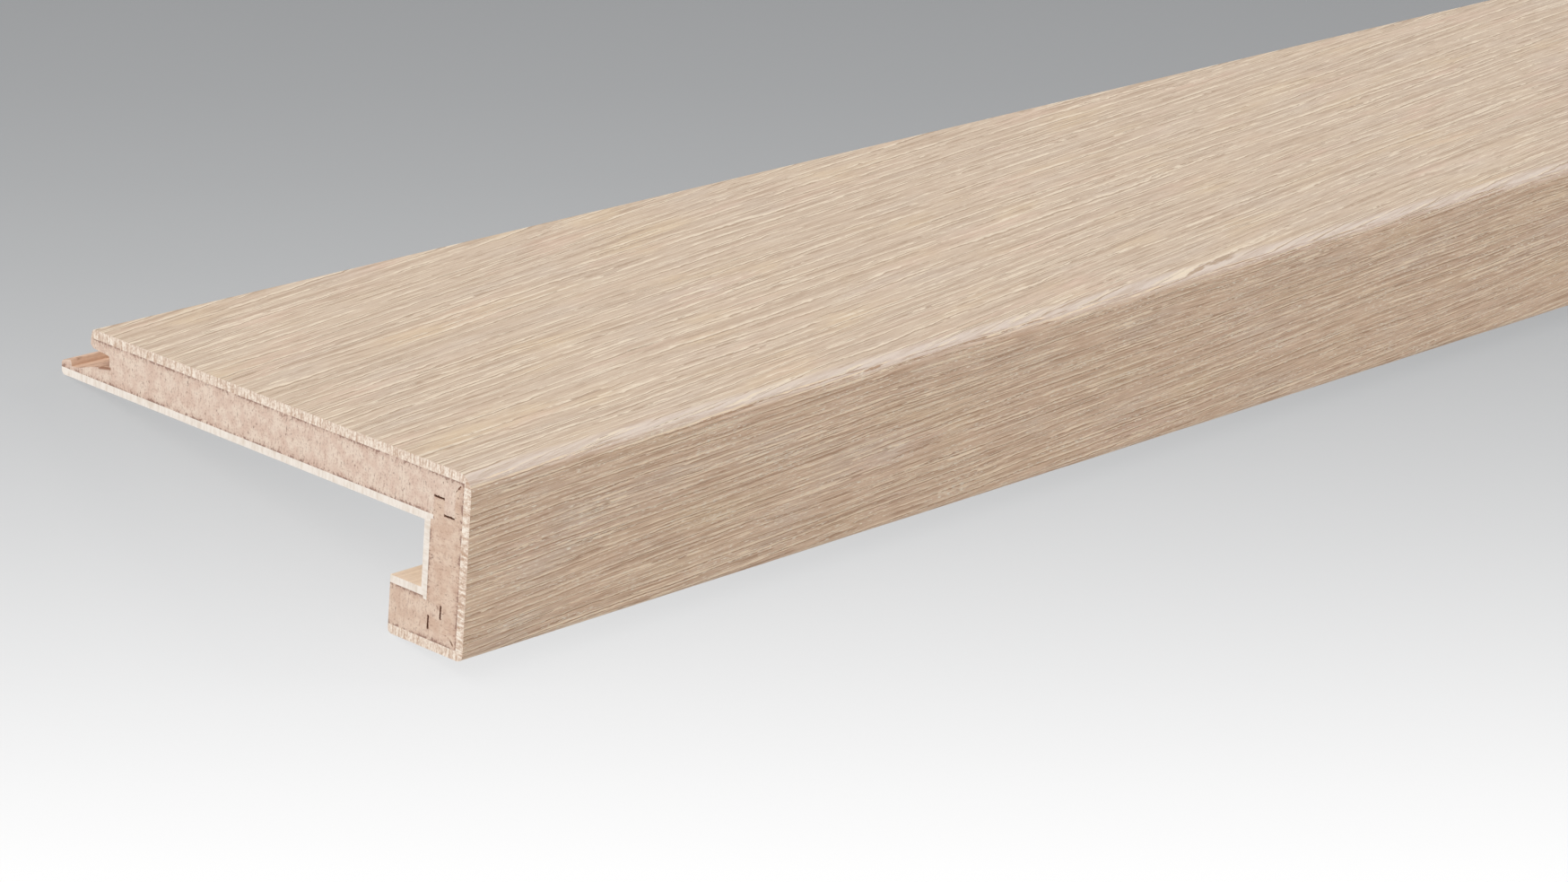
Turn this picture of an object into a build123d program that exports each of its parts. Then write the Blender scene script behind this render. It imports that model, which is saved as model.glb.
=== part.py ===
from build123d import *
import os
from math import asin, atan2, cos, degrees, hypot, sin

os.makedirs("parts", exist_ok=True)

# Sizes in millimetres. On the section, depth runs from the front face towards the back,
# and height is counted from the walking surface, as the nosing sits on a stair.

# Three boards of the same make form the U
length = 1200
board_thickness = 13
wear_thickness = 2.1
backing_thickness = 1.7
tread_depth = 118
front_height = 41
lip_depth = 22.2

# Roundings of the outer edges
nose_radius = 4
front_foot_radius = 1.8
lip_back_radius = 1.1
arris = 0.4

# Lock mitre between two boards: a mitre at the face, then two tongues that lap each other
mitre_run = 4.4
seam_start = 3.1
tongue_width = 3.1
tongue_lap = 3.2
tongue_cover = 0.9
backing_spur = 0.9
glue_gap = 0.3

# Click edge along the back of the tread board, listed from the walking surface down
catch_lean = 0.5
catch_top_drop = 1.9
catch_face_height = 1.7
catch_bevel_height = 0.7
catch_bevel_depth = 0.9
roof_fall = 0.5
groove_height = 2.8
groove_depth = 5.8
groove_round = 0.7
ramp_length = 4.4
ramp_fall = 0.8
recess_fall = 2
lower_lip_reach = 10
lock_height = 1.4
lock_face_run = 0.5
lock_top_length = 2.9
lock_top_fall = 0.8
lock_foot_radius = 1.2

# Depths under a board's face
core_depth = board_thickness - backing_thickness
tongue_tip_depth = core_depth - tongue_cover
key_tip_depth = tongue_tip_depth - tongue_lap
shoulder_depth = core_depth + backing_spur

# Places on the click edge
catch_low_drop = catch_top_drop + catch_face_height
catch_foot_drop = catch_low_drop + catch_bevel_height
roof_drop = catch_foot_drop + roof_fall
floor_drop = roof_drop + groove_height
ramp_drop = floor_drop + ramp_fall
recess_drop = ramp_drop + recess_fall
lock_drop = recess_drop - lock_height
overall_depth = tread_depth + lower_lip_reach
catch_depth = tread_depth + catch_lean
groove_end = tread_depth - groove_depth
ramp_end = groove_end + ramp_length
lock_start = overall_depth - lock_top_length
recess_end = lock_start - lock_face_run

# The nosing rests on the back of its lip and the tip of its click edge, so its tread slopes:
# the slope is that of the line that touches both of these roundings from below
rest_rise = front_height - board_thickness + lock_foot_radius - lip_back_radius
rest_run = overall_depth - lip_depth - lock_foot_radius + lip_back_radius
slope = atan2(rest_rise, rest_run)
slope += asin((lip_back_radius - lock_foot_radius) / hypot(rest_run, rest_rise))


def joint_line(mitre_end, tip, key):
    """Corners of the lock mitre, as (depth under the face, distance from the corner).

    Both are measured on the board with the outer tongue. mitre_end and tip are the depths
    at which that tongue starts and ends, and key is where the other board's tongue ends.
    """
    tongue_end = mitre_run + tongue_width
    key_end = tongue_end + tongue_width
    return [
        (0, 0),
        (seam_start, seam_start),
        (mitre_end, mitre_run),
        (tip, mitre_run),
        (tip, tongue_end),
        (key, tongue_end),
        (key, key_end),
        (shoulder_depth, key_end),
        (board_thickness, board_thickness),
    ]


# The two sides of a joint touch, except at the root and the tip of the tongues,
# where a slit is left for the glue
tongue_side = joint_line(mitre_run, tongue_tip_depth, key_tip_depth - glue_gap)
key_side = joint_line(mitre_run + glue_gap, tongue_tip_depth + glue_gap, key_tip_depth)


def at_nose(joint):
    """Place a joint line at the corner of tread and front board."""
    return [(distance, -depth) for depth, distance in joint]


def at_foot(joint):
    """Place a joint line at the corner of front board and lip."""
    return [(depth, distance - front_height) for depth, distance in joint]


# Whole outline of the U with its click edge
with BuildSketch(Plane.XY) as outline:
    with BuildLine():
        Polyline(
            (groove_end, -roof_drop),
            (catch_depth - catch_bevel_depth, -catch_foot_drop),
            (catch_depth, -catch_low_drop),
            (catch_depth, -catch_top_drop),
            (tread_depth, 0),
            (0, 0),
            (0, -front_height),
            (lip_depth, -front_height),
            (lip_depth, board_thickness - front_height),
            (board_thickness, board_thickness - front_height),
            (board_thickness, -board_thickness),
            (overall_depth, -board_thickness),
            (overall_depth, -lock_drop - lock_top_fall),
            (lock_start, -lock_drop),
            (recess_end, -recess_drop),
        )
        Spline(
            (recess_end, -recess_drop),
            (ramp_end, -ramp_drop),
            tangents=((-1, 0), (-ramp_length, ramp_fall)),
        )
        Polyline(
            (ramp_end, -ramp_drop),
            (groove_end, -floor_drop),
            (groove_end, -roof_drop),
        )
    make_face()
    roundings = [
        ((0, 0), nose_radius),
        ((0, -front_height), front_foot_radius),
        ((lip_depth, -front_height), lip_back_radius),
        ((overall_depth, -board_thickness), lock_foot_radius),
        ((groove_end, -roof_drop), groove_round),
        ((groove_end, -floor_drop), groove_round),
    ]
    for place, radius in roundings:
        fillet(outline.vertices().sort_by_distance(place)[0], radius)
    chamfer(outline.vertices().sort_by_distance((tread_depth, 0))[0], arris)
    chamfer(outline.vertices().sort_by_distance((overall_depth, -lock_drop - lock_top_fall))[0], arris)

# Tread board: everything behind the nose joint, down to its underside
with BuildSketch(Plane.XY) as tread_board:
    with BuildLine():
        Polyline(*at_nose(tongue_side), (overall_depth, -board_thickness), (overall_depth, 0), close=True)
    make_face()
    add(outline.sketch, mode=Mode.INTERSECT)

# Front board: between the two joints
with BuildSketch(Plane.XY) as front_board:
    with BuildLine():
        Polyline(*at_nose(key_side), *reversed(at_foot(tongue_side)), close=True)
    make_face()
    add(outline.sketch, mode=Mode.INTERSECT)

# Lip: what returns under the nose from the lower joint
lip_top = board_thickness - front_height
with BuildSketch(Plane.XY) as lip_board:
    with BuildLine():
        Polyline(*at_foot(key_side), (lip_depth, lip_top), (lip_depth, -front_height), close=True)
    make_face()
    add(outline.sketch, mode=Mode.INTERSECT)


# Every board is glued up from the same layers, which lie at the same depths under its face
layers = {
    "wear_layer": (0, wear_thickness),
    "core": (wear_thickness, core_depth),
    "backing": (core_depth, board_thickness),
}


def layer_in_tread(face, back):
    """Corners of the strip that a layer takes in the tread board."""
    return [(0, -face), (overall_depth, -face), (overall_depth, -back), (0, -back)]


def layer_in_front(face, back):
    """Corners of the strip that a layer takes in the front board."""
    return [(face, 0), (back, 0), (back, -front_height), (face, -front_height)]


def layer_in_lip(face, back):
    """Corners of the strip that a layer takes in the lip."""
    low = face - front_height
    high = back - front_height
    return [(0, low), (lip_depth, low), (lip_depth, high), (0, high)]


boards = {
    "tread": (tread_board, layer_in_tread),
    "front": (front_board, layer_in_front),
    "lip": (lip_board, layer_in_lip),
}

# The section stands across the length, sloped as the nosing lies, and centred over its base
across = (0, cos(slope), -sin(slope))
sloped = Plane(origin=(0, 0, 0), x_dir=across, z_dir=(1, 0, 0))
lying = (sloped * outline.sketch).bounding_box()
section = Plane(
    origin=(0, -(lying.min.Y + lying.max.Y) / 2, -lying.min.Z),
    x_dir=across,
    z_dir=(1, 0, 0),
)

for board_name, (board, layer_strip) in boards.items():
    for layer_name, (face, back) in layers.items():
        with BuildPart() as piece:
            with BuildSketch(section):
                with BuildLine():
                    Polyline(*layer_strip(face, back), close=True)
                make_face()
                add(board.sketch, mode=Mode.INTERSECT)
            extrude(amount=length / 2, both=True)
        piece.part.label = f"{board_name}_{layer_name}"
        export_step(piece.part, f"parts/{piece.part.label}.step")

print(f"slope of the tread as it lies: {degrees(slope):.4f} degrees")
print(f"walking surface meets front face at: {section.origin.Y:.4f}, {section.origin.Z:.4f}")
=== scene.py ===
"""Looks of a u-shaped stair nosing, made of three boards of click parquet joined by lock mitres.

Sizes are in millimetres until a mesh is made, and then in metres. The section has the axes of the
nosing as it sits on a stair: depth runs from the front face to the back, height is counted from the
walking surface. The nosing lies with its tread sloping, so the section is turned before it is used.
"""

import logging
from abc import ABC, abstractmethod
from dataclasses import dataclass, replace
from enum import Enum, IntEnum
from math import asin, atan2, cos, hypot, radians, sin, sqrt, tan

import bpy
import numpy as np
from mathutils import Matrix, Vector


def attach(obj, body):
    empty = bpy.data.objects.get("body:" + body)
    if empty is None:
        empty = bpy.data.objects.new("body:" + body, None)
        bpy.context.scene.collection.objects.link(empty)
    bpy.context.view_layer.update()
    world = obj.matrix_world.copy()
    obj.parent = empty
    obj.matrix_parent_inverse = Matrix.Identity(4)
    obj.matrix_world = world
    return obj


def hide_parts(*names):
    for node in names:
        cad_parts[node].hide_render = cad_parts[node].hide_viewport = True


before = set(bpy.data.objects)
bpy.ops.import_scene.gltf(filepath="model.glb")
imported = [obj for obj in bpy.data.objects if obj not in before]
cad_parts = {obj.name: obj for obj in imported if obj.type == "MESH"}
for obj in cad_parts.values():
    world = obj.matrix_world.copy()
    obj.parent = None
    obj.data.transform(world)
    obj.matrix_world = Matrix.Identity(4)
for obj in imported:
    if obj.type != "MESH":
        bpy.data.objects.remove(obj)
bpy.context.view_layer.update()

log = logging.getLogger("nosing")

MM = 0.001
TINY = 1e-6
BODY = "root"
PHOTO_WIDTH = 1748
PHOTO_HEIGHT = 983
SENSOR_WIDTH = 36.0
SHARP_ANGLE = 28

Socket = bpy.types.NodeSocket
Value = Socket | float
Point = tuple[float, float]
Triple = tuple[float, float, float]


class Board(Enum):
    """The three boards that form the U."""

    TREAD = "tread"
    FRONT = "front"
    LIP = "lip"


class Layer(Enum):
    """The layers that every board is glued up from, counted from its face."""

    WEAR = "wear_layer"
    CORE = "core"
    BACKING = "backing"


class Cut(IntEnum):
    """How a stretch of a layer's surface was made. The number is also its material slot."""

    FACE = 0
    MILLED = 1
    SAWN_END = 2


@dataclass(frozen=True)
class Tone:
    """A colour as a screen shows it, with parts from 0 to 255."""

    red: float
    green: float
    blue: float

    def linear(self) -> tuple[float, float, float, float]:
        """Give the colour as the shader wants it, linear and opaque."""
        parts = np.array([self.red, self.green, self.blue]) / 255
        low = parts / 12.92
        high = ((parts + 0.055) / 1.055) ** 2.4
        return (*np.where(parts <= 0.04045, low, high).tolist(), 1.0)

    def toward(self, other: "Tone", share: float) -> "Tone":
        """Go a share of the way to another tone."""
        pairs = ((self.red, other.red), (self.green, other.green), (self.blue, other.blue))
        return Tone(*(here + (there - here) * share for here, there in pairs))


@dataclass(frozen=True)
class Section:
    """Sizes of the nosing's section, and where it lies."""

    length: float = 1200
    board: float = 13
    wear: float = 2.1
    backing: float = 1.7
    tread_depth: float = 118
    front_height: float = 41
    lip_depth: float = 22.2
    nose_radius: float = 4
    foot_radius: float = 1.8
    lip_back_radius: float = 1.1
    arris: float = 0.4
    mitre_run: float = 4.4
    seam_start: float = 3.1
    tongue_width: float = 3.1
    tongue_lap: float = 3.2
    tongue_cover: float = 0.9
    backing_spur: float = 0.9
    glue_gap: float = 0.3
    catch_lean: float = 0.5
    catch_top_drop: float = 1.9
    catch_face_height: float = 1.7
    catch_bevel_height: float = 0.7
    catch_bevel_depth: float = 0.9
    roof_fall: float = 0.5
    groove_height: float = 2.8
    groove_depth: float = 5.8
    groove_round: float = 0.7
    ramp_length: float = 4.4
    ramp_fall: float = 0.8
    recess_fall: float = 2
    lower_lip_reach: float = 10
    lock_height: float = 1.4
    lock_face_run: float = 0.5
    lock_top_length: float = 2.9
    lock_top_fall: float = 0.8
    lock_foot_radius: float = 1.2

    @property
    def core_end(self) -> float:
        """Depth under a board's face at which its core ends and the backing starts."""
        return self.board - self.backing

    @property
    def tongue_tip(self) -> float:
        """Depth under its face at which a joint's outer tongue ends."""
        return self.core_end - self.tongue_cover

    @property
    def key_tip(self) -> float:
        """Depth under that same face at which the second tongue ends."""
        return self.tongue_tip - self.tongue_lap

    @property
    def catch_foot(self) -> float:
        """Drop from the walking surface to the foot of the catch, over the click edge's groove."""
        return self.catch_top_drop + self.catch_face_height + self.catch_bevel_height

    @property
    def groove_floor(self) -> float:
        """Drop to the bottom of the click edge's groove, where its ramp starts."""
        return self.catch_foot + self.roof_fall + self.groove_height

    @property
    def groove_end(self) -> float:
        """Depth from the front face at which the click edge's groove ends."""
        return self.tread_depth - self.groove_depth

    @property
    def overall_depth(self) -> float:
        """Depth from the front face to the tip of the click edge."""
        return self.tread_depth + self.lower_lip_reach

    @property
    def slope(self) -> float:
        """Slope of the tread as the nosing lies, in radians.

        The nosing rests on the back of its lip and the tip of its click edge. The slope is that
        of the line that touches both of these roundings from below.
        """
        lift = self.lock_foot_radius - self.lip_back_radius
        rise = self.front_height - self.board + lift
        run = self.overall_depth - self.lip_depth - lift
        return atan2(rise, run) - asin(lift / hypot(run, rise))

    @property
    def origin(self) -> Point:
        """Place of the corner where walking surface and front face meet, as (across, up)."""
        turned = self.turn(np.vstack([self.board_outline(board).points for board in Board]))
        low = turned.min(axis=0)
        high = turned.max(axis=0)
        return -(low[0] + high[0]) / 2, -low[1]

    def turn(self, points: np.ndarray) -> np.ndarray:
        """Turn section points by the slope.

        Args:
            points: Rows of (depth, height) on the section.

        Returns:
            Rows of (across, up), about the corner where walking surface and front face meet.
        """
        c = cos(self.slope)
        s = sin(self.slope)
        return np.column_stack([points[:, 0] * c + points[:, 1] * s, points[:, 1] * c - points[:, 0] * s])

    def joint_line(self, mitre_end: float, tip: float, key: float) -> np.ndarray:
        """Corners of the lock mitre.

        Args:
            mitre_end: Depth under the face at which the outer tongue starts.
            tip: Depth at which it ends.
            key: Depth at which the other board's tongue ends.

        Returns:
            Rows of (depth under the face, distance from the corner), from the face inwards.
        """
        tongue_end = self.mitre_run + self.tongue_width
        key_end = tongue_end + self.tongue_width
        return np.array([
            (self.seam_start, self.seam_start),
            (mitre_end, self.mitre_run),
            (tip, self.mitre_run),
            (tip, tongue_end),
            (key, tongue_end),
            (key, key_end),
            (self.core_end + self.backing_spur, key_end),
            (self.board, self.board),
        ])

    def tongue_side(self) -> np.ndarray:
        """Joint line of the board that has the outer tongue."""
        return self.joint_line(self.mitre_run, self.tongue_tip, self.key_tip - self.glue_gap)

    def key_side(self) -> np.ndarray:
        """Joint line of the board that has the second tongue."""
        gap = self.glue_gap
        return self.joint_line(self.mitre_run + gap, self.tongue_tip + gap, self.key_tip)

    def at_nose(self, joint: np.ndarray) -> np.ndarray:
        """Place a joint line at the corner of tread and front board."""
        return np.column_stack([joint[:, 1], -joint[:, 0]])

    def at_foot(self, joint: np.ndarray) -> np.ndarray:
        """Place a joint line at the corner of front board and lip."""
        return np.column_stack([joint[:, 0], joint[:, 1] - self.front_height])

    def board_outline(self, board: Board) -> "Outline":
        """Outline of one whole board.

        Args:
            board: Which of the three.

        Returns:
            Its closed outline, with the brushed face marked.
        """
        if board is Board.TREAD:
            return self.tread_outline()
        if board is Board.FRONT:
            return self.front_outline()
        return self.lip_outline()

    def tread_outline(self) -> "Outline":
        """Outline of the tread board: half the nose rounding, the face, the click edge, the joint."""
        nose = self.nose_radius
        foot = self.lock_foot_radius
        depth = self.tread_depth
        tip = self.overall_depth
        catch = depth + self.catch_lean
        catch_low = (catch - self.catch_bevel_depth, -self.catch_foot)
        roof_corner = (self.groove_end, -self.catch_foot - self.roof_fall)
        floor_corner = (self.groove_end, -self.groove_floor)
        ramp_drop = self.groove_floor + self.ramp_fall
        ramp_end = (self.groove_end + self.ramp_length, -ramp_drop)
        recess_drop = ramp_drop + self.recess_fall
        lock_drop = recess_drop - self.lock_height
        lock_start = tip - self.lock_top_length
        tip_drop = lock_drop + self.lock_top_fall
        lean = self.arris * unit((self.catch_lean, -self.catch_top_drop))
        fall = self.arris * unit((-self.lock_top_length, self.lock_top_fall))
        face = [(depth - self.arris, 0), arc((nose, -nose), nose, 90, 135)]
        lock_side = [
            arc((tip - foot, foot - self.board), foot, -90, 0),
            (tip, -tip_drop - self.arris),
            (tip + fall[0], -tip_drop + fall[1]),
            (lock_start, -lock_drop),
        ]
        recess_end = (lock_start - self.lock_face_run, -recess_drop)
        hollow = hermite(recess_end, ramp_end, (-1, 0), (-self.ramp_length, self.ramp_fall))
        groove = [
            rounded(ramp_end, floor_corner, roof_corner, self.groove_round),
            rounded(floor_corner, roof_corner, catch_low, self.groove_round),
        ]
        catch_side = [
            catch_low,
            (catch, -self.catch_top_drop - self.catch_face_height),
            (catch, -self.catch_top_drop),
            (depth + lean[0], lean[1]),
        ]
        joint = self.at_nose(self.tongue_side())
        return Outline.of([
            (Cut.FACE, face),
            (Cut.MILLED, [joint, *lock_side, hollow, *groove, *catch_side]),
        ])

    def front_outline(self) -> "Outline":
        """Outline of the front board: both its joints, and the face with its two roundings."""
        nose = self.nose_radius
        foot = self.foot_radius
        face = [
            arc((nose, -nose), nose, 135, 180),
            arc((foot, foot - self.front_height), foot, 180, 225),
        ]
        foot_joint = self.at_foot(self.tongue_side())
        nose_joint = self.at_nose(self.key_side())[::-1]
        return Outline.of([(Cut.FACE, face), (Cut.MILLED, [foot_joint, nose_joint])])

    def lip_outline(self) -> "Outline":
        """Outline of the lip: its joint, its top, its back edge and its face, which looks down."""
        foot = self.foot_radius
        back = self.lip_back_radius
        low = -self.front_height
        face = [
            arc((foot, low + foot), foot, 225, 270),
            arc((self.lip_depth - back, low + back), back, -90, 0),
        ]
        joint = self.at_foot(self.key_side())[::-1]
        return Outline.of([(Cut.FACE, face), (Cut.MILLED, [(self.lip_depth, self.board + low), joint])])

    def layer_outline(self, board: Board, layer: Layer) -> "Outline":
        """Outline of one layer of one board: the board's outline cut along its glue lines.

        Args:
            board: Which board.
            layer: Which of its layers.

        Returns:
            The layer's closed outline.
        """
        outline = self.board_outline(board)
        inward, start = self.face_frame(board)
        near, far = {
            Layer.WEAR: (None, self.wear),
            Layer.CORE: (self.wear, self.core_end),
            Layer.BACKING: (self.core_end, None),
        }[layer]
        if near is not None:
            outline = outline.clip(inward, start + near)
        if far is not None:
            outline = outline.clip(-inward, -(start + far))
        return outline

    def face_frame(self, board: Board) -> tuple[np.ndarray, float]:
        """Direction into a board from its face, and where its face lies along it.

        Args:
            board: Which board.

        Returns:
            The inward direction as (depth, height), and the face's place in that direction.
        """
        if board is Board.TREAD:
            return np.array([0.0, -1.0]), 0.0
        if board is Board.FRONT:
            return np.array([1.0, 0.0]), 0.0
        return np.array([0.0, 1.0]), -self.front_height


def unit(vector: np.ndarray | Point) -> np.ndarray:
    """Shorten or lengthen a vector to one unit."""
    return np.array(vector, float) / np.hypot(*vector)


def arc(centre: Point, radius: float, start: float, end: float) -> np.ndarray:
    """Points of a circular arc: centre plus radius times (cosine, sine) of evenly spaced angles.

    Args:
        centre: Centre as (depth, height).
        radius: Radius in millimetres.
        start: First angle in degrees.
        end: Last angle in degrees.

    Returns:
        Rows of (depth, height).
    """
    longest_chord = 0.25
    count = max(4, int(np.ceil(radius * abs(radians(end - start)) / longest_chord)) + 1)
    angle = np.radians(np.linspace(start, end, count))
    return np.column_stack([centre[0] + radius * np.cos(angle), centre[1] + radius * np.sin(angle)])


def rounded(before: Point, corner: Point, after: Point, radius: float) -> np.ndarray:
    """Points that round a corner: the arc that touches both of its sides.

    The centre lies on the corner's bisector, at radius over the sine of half the corner's angle.

    Args:
        before: A point on the side that comes before the corner.
        corner: The corner.
        after: A point on the side after it.
        radius: Radius in millimetres.

    Returns:
        Rows of (depth, height), from one touching point to the other.
    """
    corner = np.array(corner, float)
    one = unit(np.array(before) - corner)
    two = unit(np.array(after) - corner)
    half_sine = sqrt((1 - one @ two) / 2)
    centre = corner + unit(one + two) * radius / half_sine
    reach = radius * sqrt(1 - half_sine**2) / half_sine
    first = corner + one * reach - centre
    last = corner + two * reach - centre
    start = atan2(first[1], first[0])
    turn = (atan2(last[1], last[0]) - start + np.pi) % (2 * np.pi) - np.pi
    return arc(tuple(centre), radius, np.degrees(start), np.degrees(start + turn))


def hermite(start: Point, end: Point, leave: Point, arrive: Point) -> np.ndarray:
    """Points of the cubic curve between two points that leaves and arrives in given directions.

    Both directions are first made as long as the chord, as a fair spline has them.

    Args:
        start: First point.
        end: Last point.
        leave: Direction at the first point.
        arrive: Direction at the last point.

    Returns:
        Rows of (depth, height), both ends included.
    """
    steps = 24
    p0 = np.array(start, float)
    p1 = np.array(end, float)
    chord = np.hypot(*(p1 - p0))
    m0 = unit(leave) * chord
    m1 = unit(arrive) * chord
    t = np.linspace(0, 1, steps)[:, None]
    return (
        (2 * t**3 - 3 * t**2 + 1) * p0
        + (t**3 - 2 * t**2 + t) * m0
        + (3 * t**2 - 2 * t**3) * p1
        + (t**3 - t**2) * m1
    )


@dataclass
class Outline:
    """A closed outline on the section.

    points holds rows of (depth, height), and cuts says how the stretch after each point was made.
    """

    points: np.ndarray
    cuts: np.ndarray

    @classmethod
    def of(cls, stretches: list[tuple[Cut, list]]) -> "Outline":
        """Join stretches of points, each with the way it was made.

        Args:
            stretches: Pairs of a cut and its points, as single points or arrays of them.

        Returns:
            The closed outline, which runs anticlockwise when depth points right and height up.
        """
        points = []
        cuts = []
        for cut, pieces in stretches:
            rows = np.vstack([np.atleast_2d(piece) for piece in pieces])
            marks = np.full(len(rows), cut)
            marks[-1] = Cut.MILLED
            points.append(rows)
            cuts.append(marks)
        return cls(np.vstack(points), np.concatenate(cuts))

    def clip(self, normal: np.ndarray, least: float) -> "Outline":
        """Keep what lies at least so far along a direction.

        Points on the wrong side go, and each side that crosses the line gets a point there, found
        by linear interpolation between its ends.

        Args:
            normal: The direction, one unit long.
            least: The smallest value of a point times the direction that stays.

        Returns:
            The clipped outline.
        """
        after = np.roll(self.points, -1, axis=0)
        here = self.points @ normal - least
        there = after @ normal - least
        keep = here >= 0
        crossing = keep != (there >= 0)
        share = np.where(crossing, here / np.where(crossing, here - there, 1), 0)[:, None]
        crossed = self.points + share * (after - self.points)
        cuts = np.column_stack([self.cuts, np.where(keep, Cut.MILLED, self.cuts)])
        points = np.stack([self.points, crossed], axis=1)
        wanted = np.column_stack([keep, crossing])
        return Outline(points[wanted], cuts[wanted]).without_doubles()

    def without_doubles(self) -> "Outline":
        """Drop points that coincide with the one before them."""
        apart = np.hypot(*(self.points - np.roll(self.points, 1, axis=0)).T) > TINY
        return Outline(self.points[apart], self.cuts[apart])

    def divide(self, face_step: float, other_step: float) -> "Outline":
        """Divide every side evenly into stretches no longer than a step.

        Args:
            face_step: Longest stretch on the face.
            other_step: Longest stretch elsewhere.

        Returns:
            The same outline with more points on it.
        """
        along = np.roll(self.points, -1, axis=0) - self.points
        step = np.where(self.cuts == Cut.FACE, face_step, other_step)
        parts = np.ceil(np.hypot(*along.T) / step - TINY).astype(int).clip(1)
        side = np.repeat(np.arange(len(parts)), parts)
        first = np.repeat(np.cumsum(parts) - parts, parts)
        share = ((np.arange(parts.sum()) - first) / parts[side])[:, None]
        return Outline(self.points[side] + share * along[side], self.cuts[side])

    def travel(self) -> np.ndarray:
        """Distance travelled along the outline at each point, and at the end of the last side."""
        steps = np.hypot(*(np.roll(self.points, -1, axis=0) - self.points).T)
        return np.concatenate([[0], np.cumsum(steps)])

    def outward(self) -> np.ndarray:
        """Outward direction at each point of an anticlockwise outline: its tangent turned right.

        Returns:
            Rows of (depth, height), one unit long.
        """
        tangent = np.roll(self.points, -1, axis=0) - np.roll(self.points, 1, axis=0)
        tangent /= np.hypot(*tangent.T)[:, None]
        return np.column_stack([tangent[:, 1], -tangent[:, 0]])

    def on_face(self) -> np.ndarray:
        """Tell which points have the face on both sides."""
        face = self.cuts == Cut.FACE
        return face & np.roll(face, 1)


@dataclass(frozen=True)
class Grain:
    """How the growth rings run over one board's face.

    The rings are level lines of a field. Its value grows by one from ring to ring, so its
    fraction says where a point lies within its ring. Each size is that of a wave, as millimetres
    along the board and across it.
    """

    seed: int
    ring_width: float
    slant: float
    drift: float
    drift_size: Point = (340, 80)
    wiggle: float = 0.22
    wiggle_size: Point = (34, 9)
    uneven: float = 0.38
    uneven_size: Point = (420, 9)
    fade_mean: float = 0.62
    fade: float = 0.42
    fade_size: Point = (32, 2.2)
    relief: float = 0.05

    def across(self, x: np.ndarray, s: np.ndarray) -> np.ndarray:
        """Distance across the grain: across the face, less the slant, plus long slow waves.

        Args:
            x: Place along the board, in millimetres.
            s: Place across the face, towards the back of the tread.

        Returns:
            Distance across the grain in millimetres.
        """
        slanted = s - tan(radians(self.slant)) * x
        slow = self.drift * waves(x, slanted, self.drift_size, self.seed)
        quick = self.wiggle * waves(x, slanted, self.wiggle_size, self.seed + 1)
        return slanted + slow + quick

    def rings(self, x: np.ndarray, across: np.ndarray) -> np.ndarray:
        """Ring field: the distance across the grain in ring widths, with uneven widths.

        Args:
            x: Place along the board, in millimetres.
            across: Distance across the grain.

        Returns:
            The ring field.
        """
        uneven = self.uneven * waves(x, across, self.uneven_size, self.seed + 2)
        return across / self.ring_width + uneven

    def strength(self, x: np.ndarray, across: np.ndarray) -> np.ndarray:
        """How strongly the brush has brought out the rings, from nought to one.

        Args:
            x: Place along the board, in millimetres.
            across: Distance across the grain.

        Returns:
            The strength, which fades in and out along each ring.
        """
        fade = self.fade * waves(x, across, self.fade_size, self.seed + 3)
        return (self.fade_mean + fade).clip(0, 1)

    def height(self, ring: np.ndarray, strength: np.ndarray) -> np.ndarray:
        """Relief of the brushed face: a groove that deepens through a ring and ends at its ridge.

        Args:
            ring: The ring field.
            strength: The strength of the lines.

        Returns:
            Height in millimetres, from nought at the ridges down to minus the relief.
        """
        fraction = ring - np.floor(ring)
        groove = smooth(fraction, 0.25, 0.85) * (1 - smooth(fraction, 0.85, 1.0))
        return -self.relief * strength * groove


def smooth(value: np.ndarray, low: float, high: float) -> np.ndarray:
    """Smooth step: nought below low, one above high, three t squared less two t cubed between."""
    t = ((value - low) / (high - low)).clip(0, 1)
    return t * t * (3 - 2 * t)


def waves(x: np.ndarray, y: np.ndarray, size: Point, seed: int) -> np.ndarray:
    """Random surface: many plane waves of random direction and phase, added up.

    Args:
        x: First coordinate.
        y: Second coordinate.
        size: Typical size of a swelling, along the first and the second.
        seed: Seed of the draws.

    Returns:
        Values that spread by about one around nought.
    """
    count = 36
    draws = np.random.default_rng(seed)
    kx = draws.normal(0, 2 / size[0], count)
    ky = draws.normal(0, 2 / size[1], count)
    phase = draws.uniform(0, 2 * np.pi, count)
    total = np.zeros(np.broadcast(x, y).shape)
    for wave in range(count):
        total += np.cos(kx[wave] * x + ky[wave] * y + phase[wave])
    return total * sqrt(2 / count)

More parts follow.
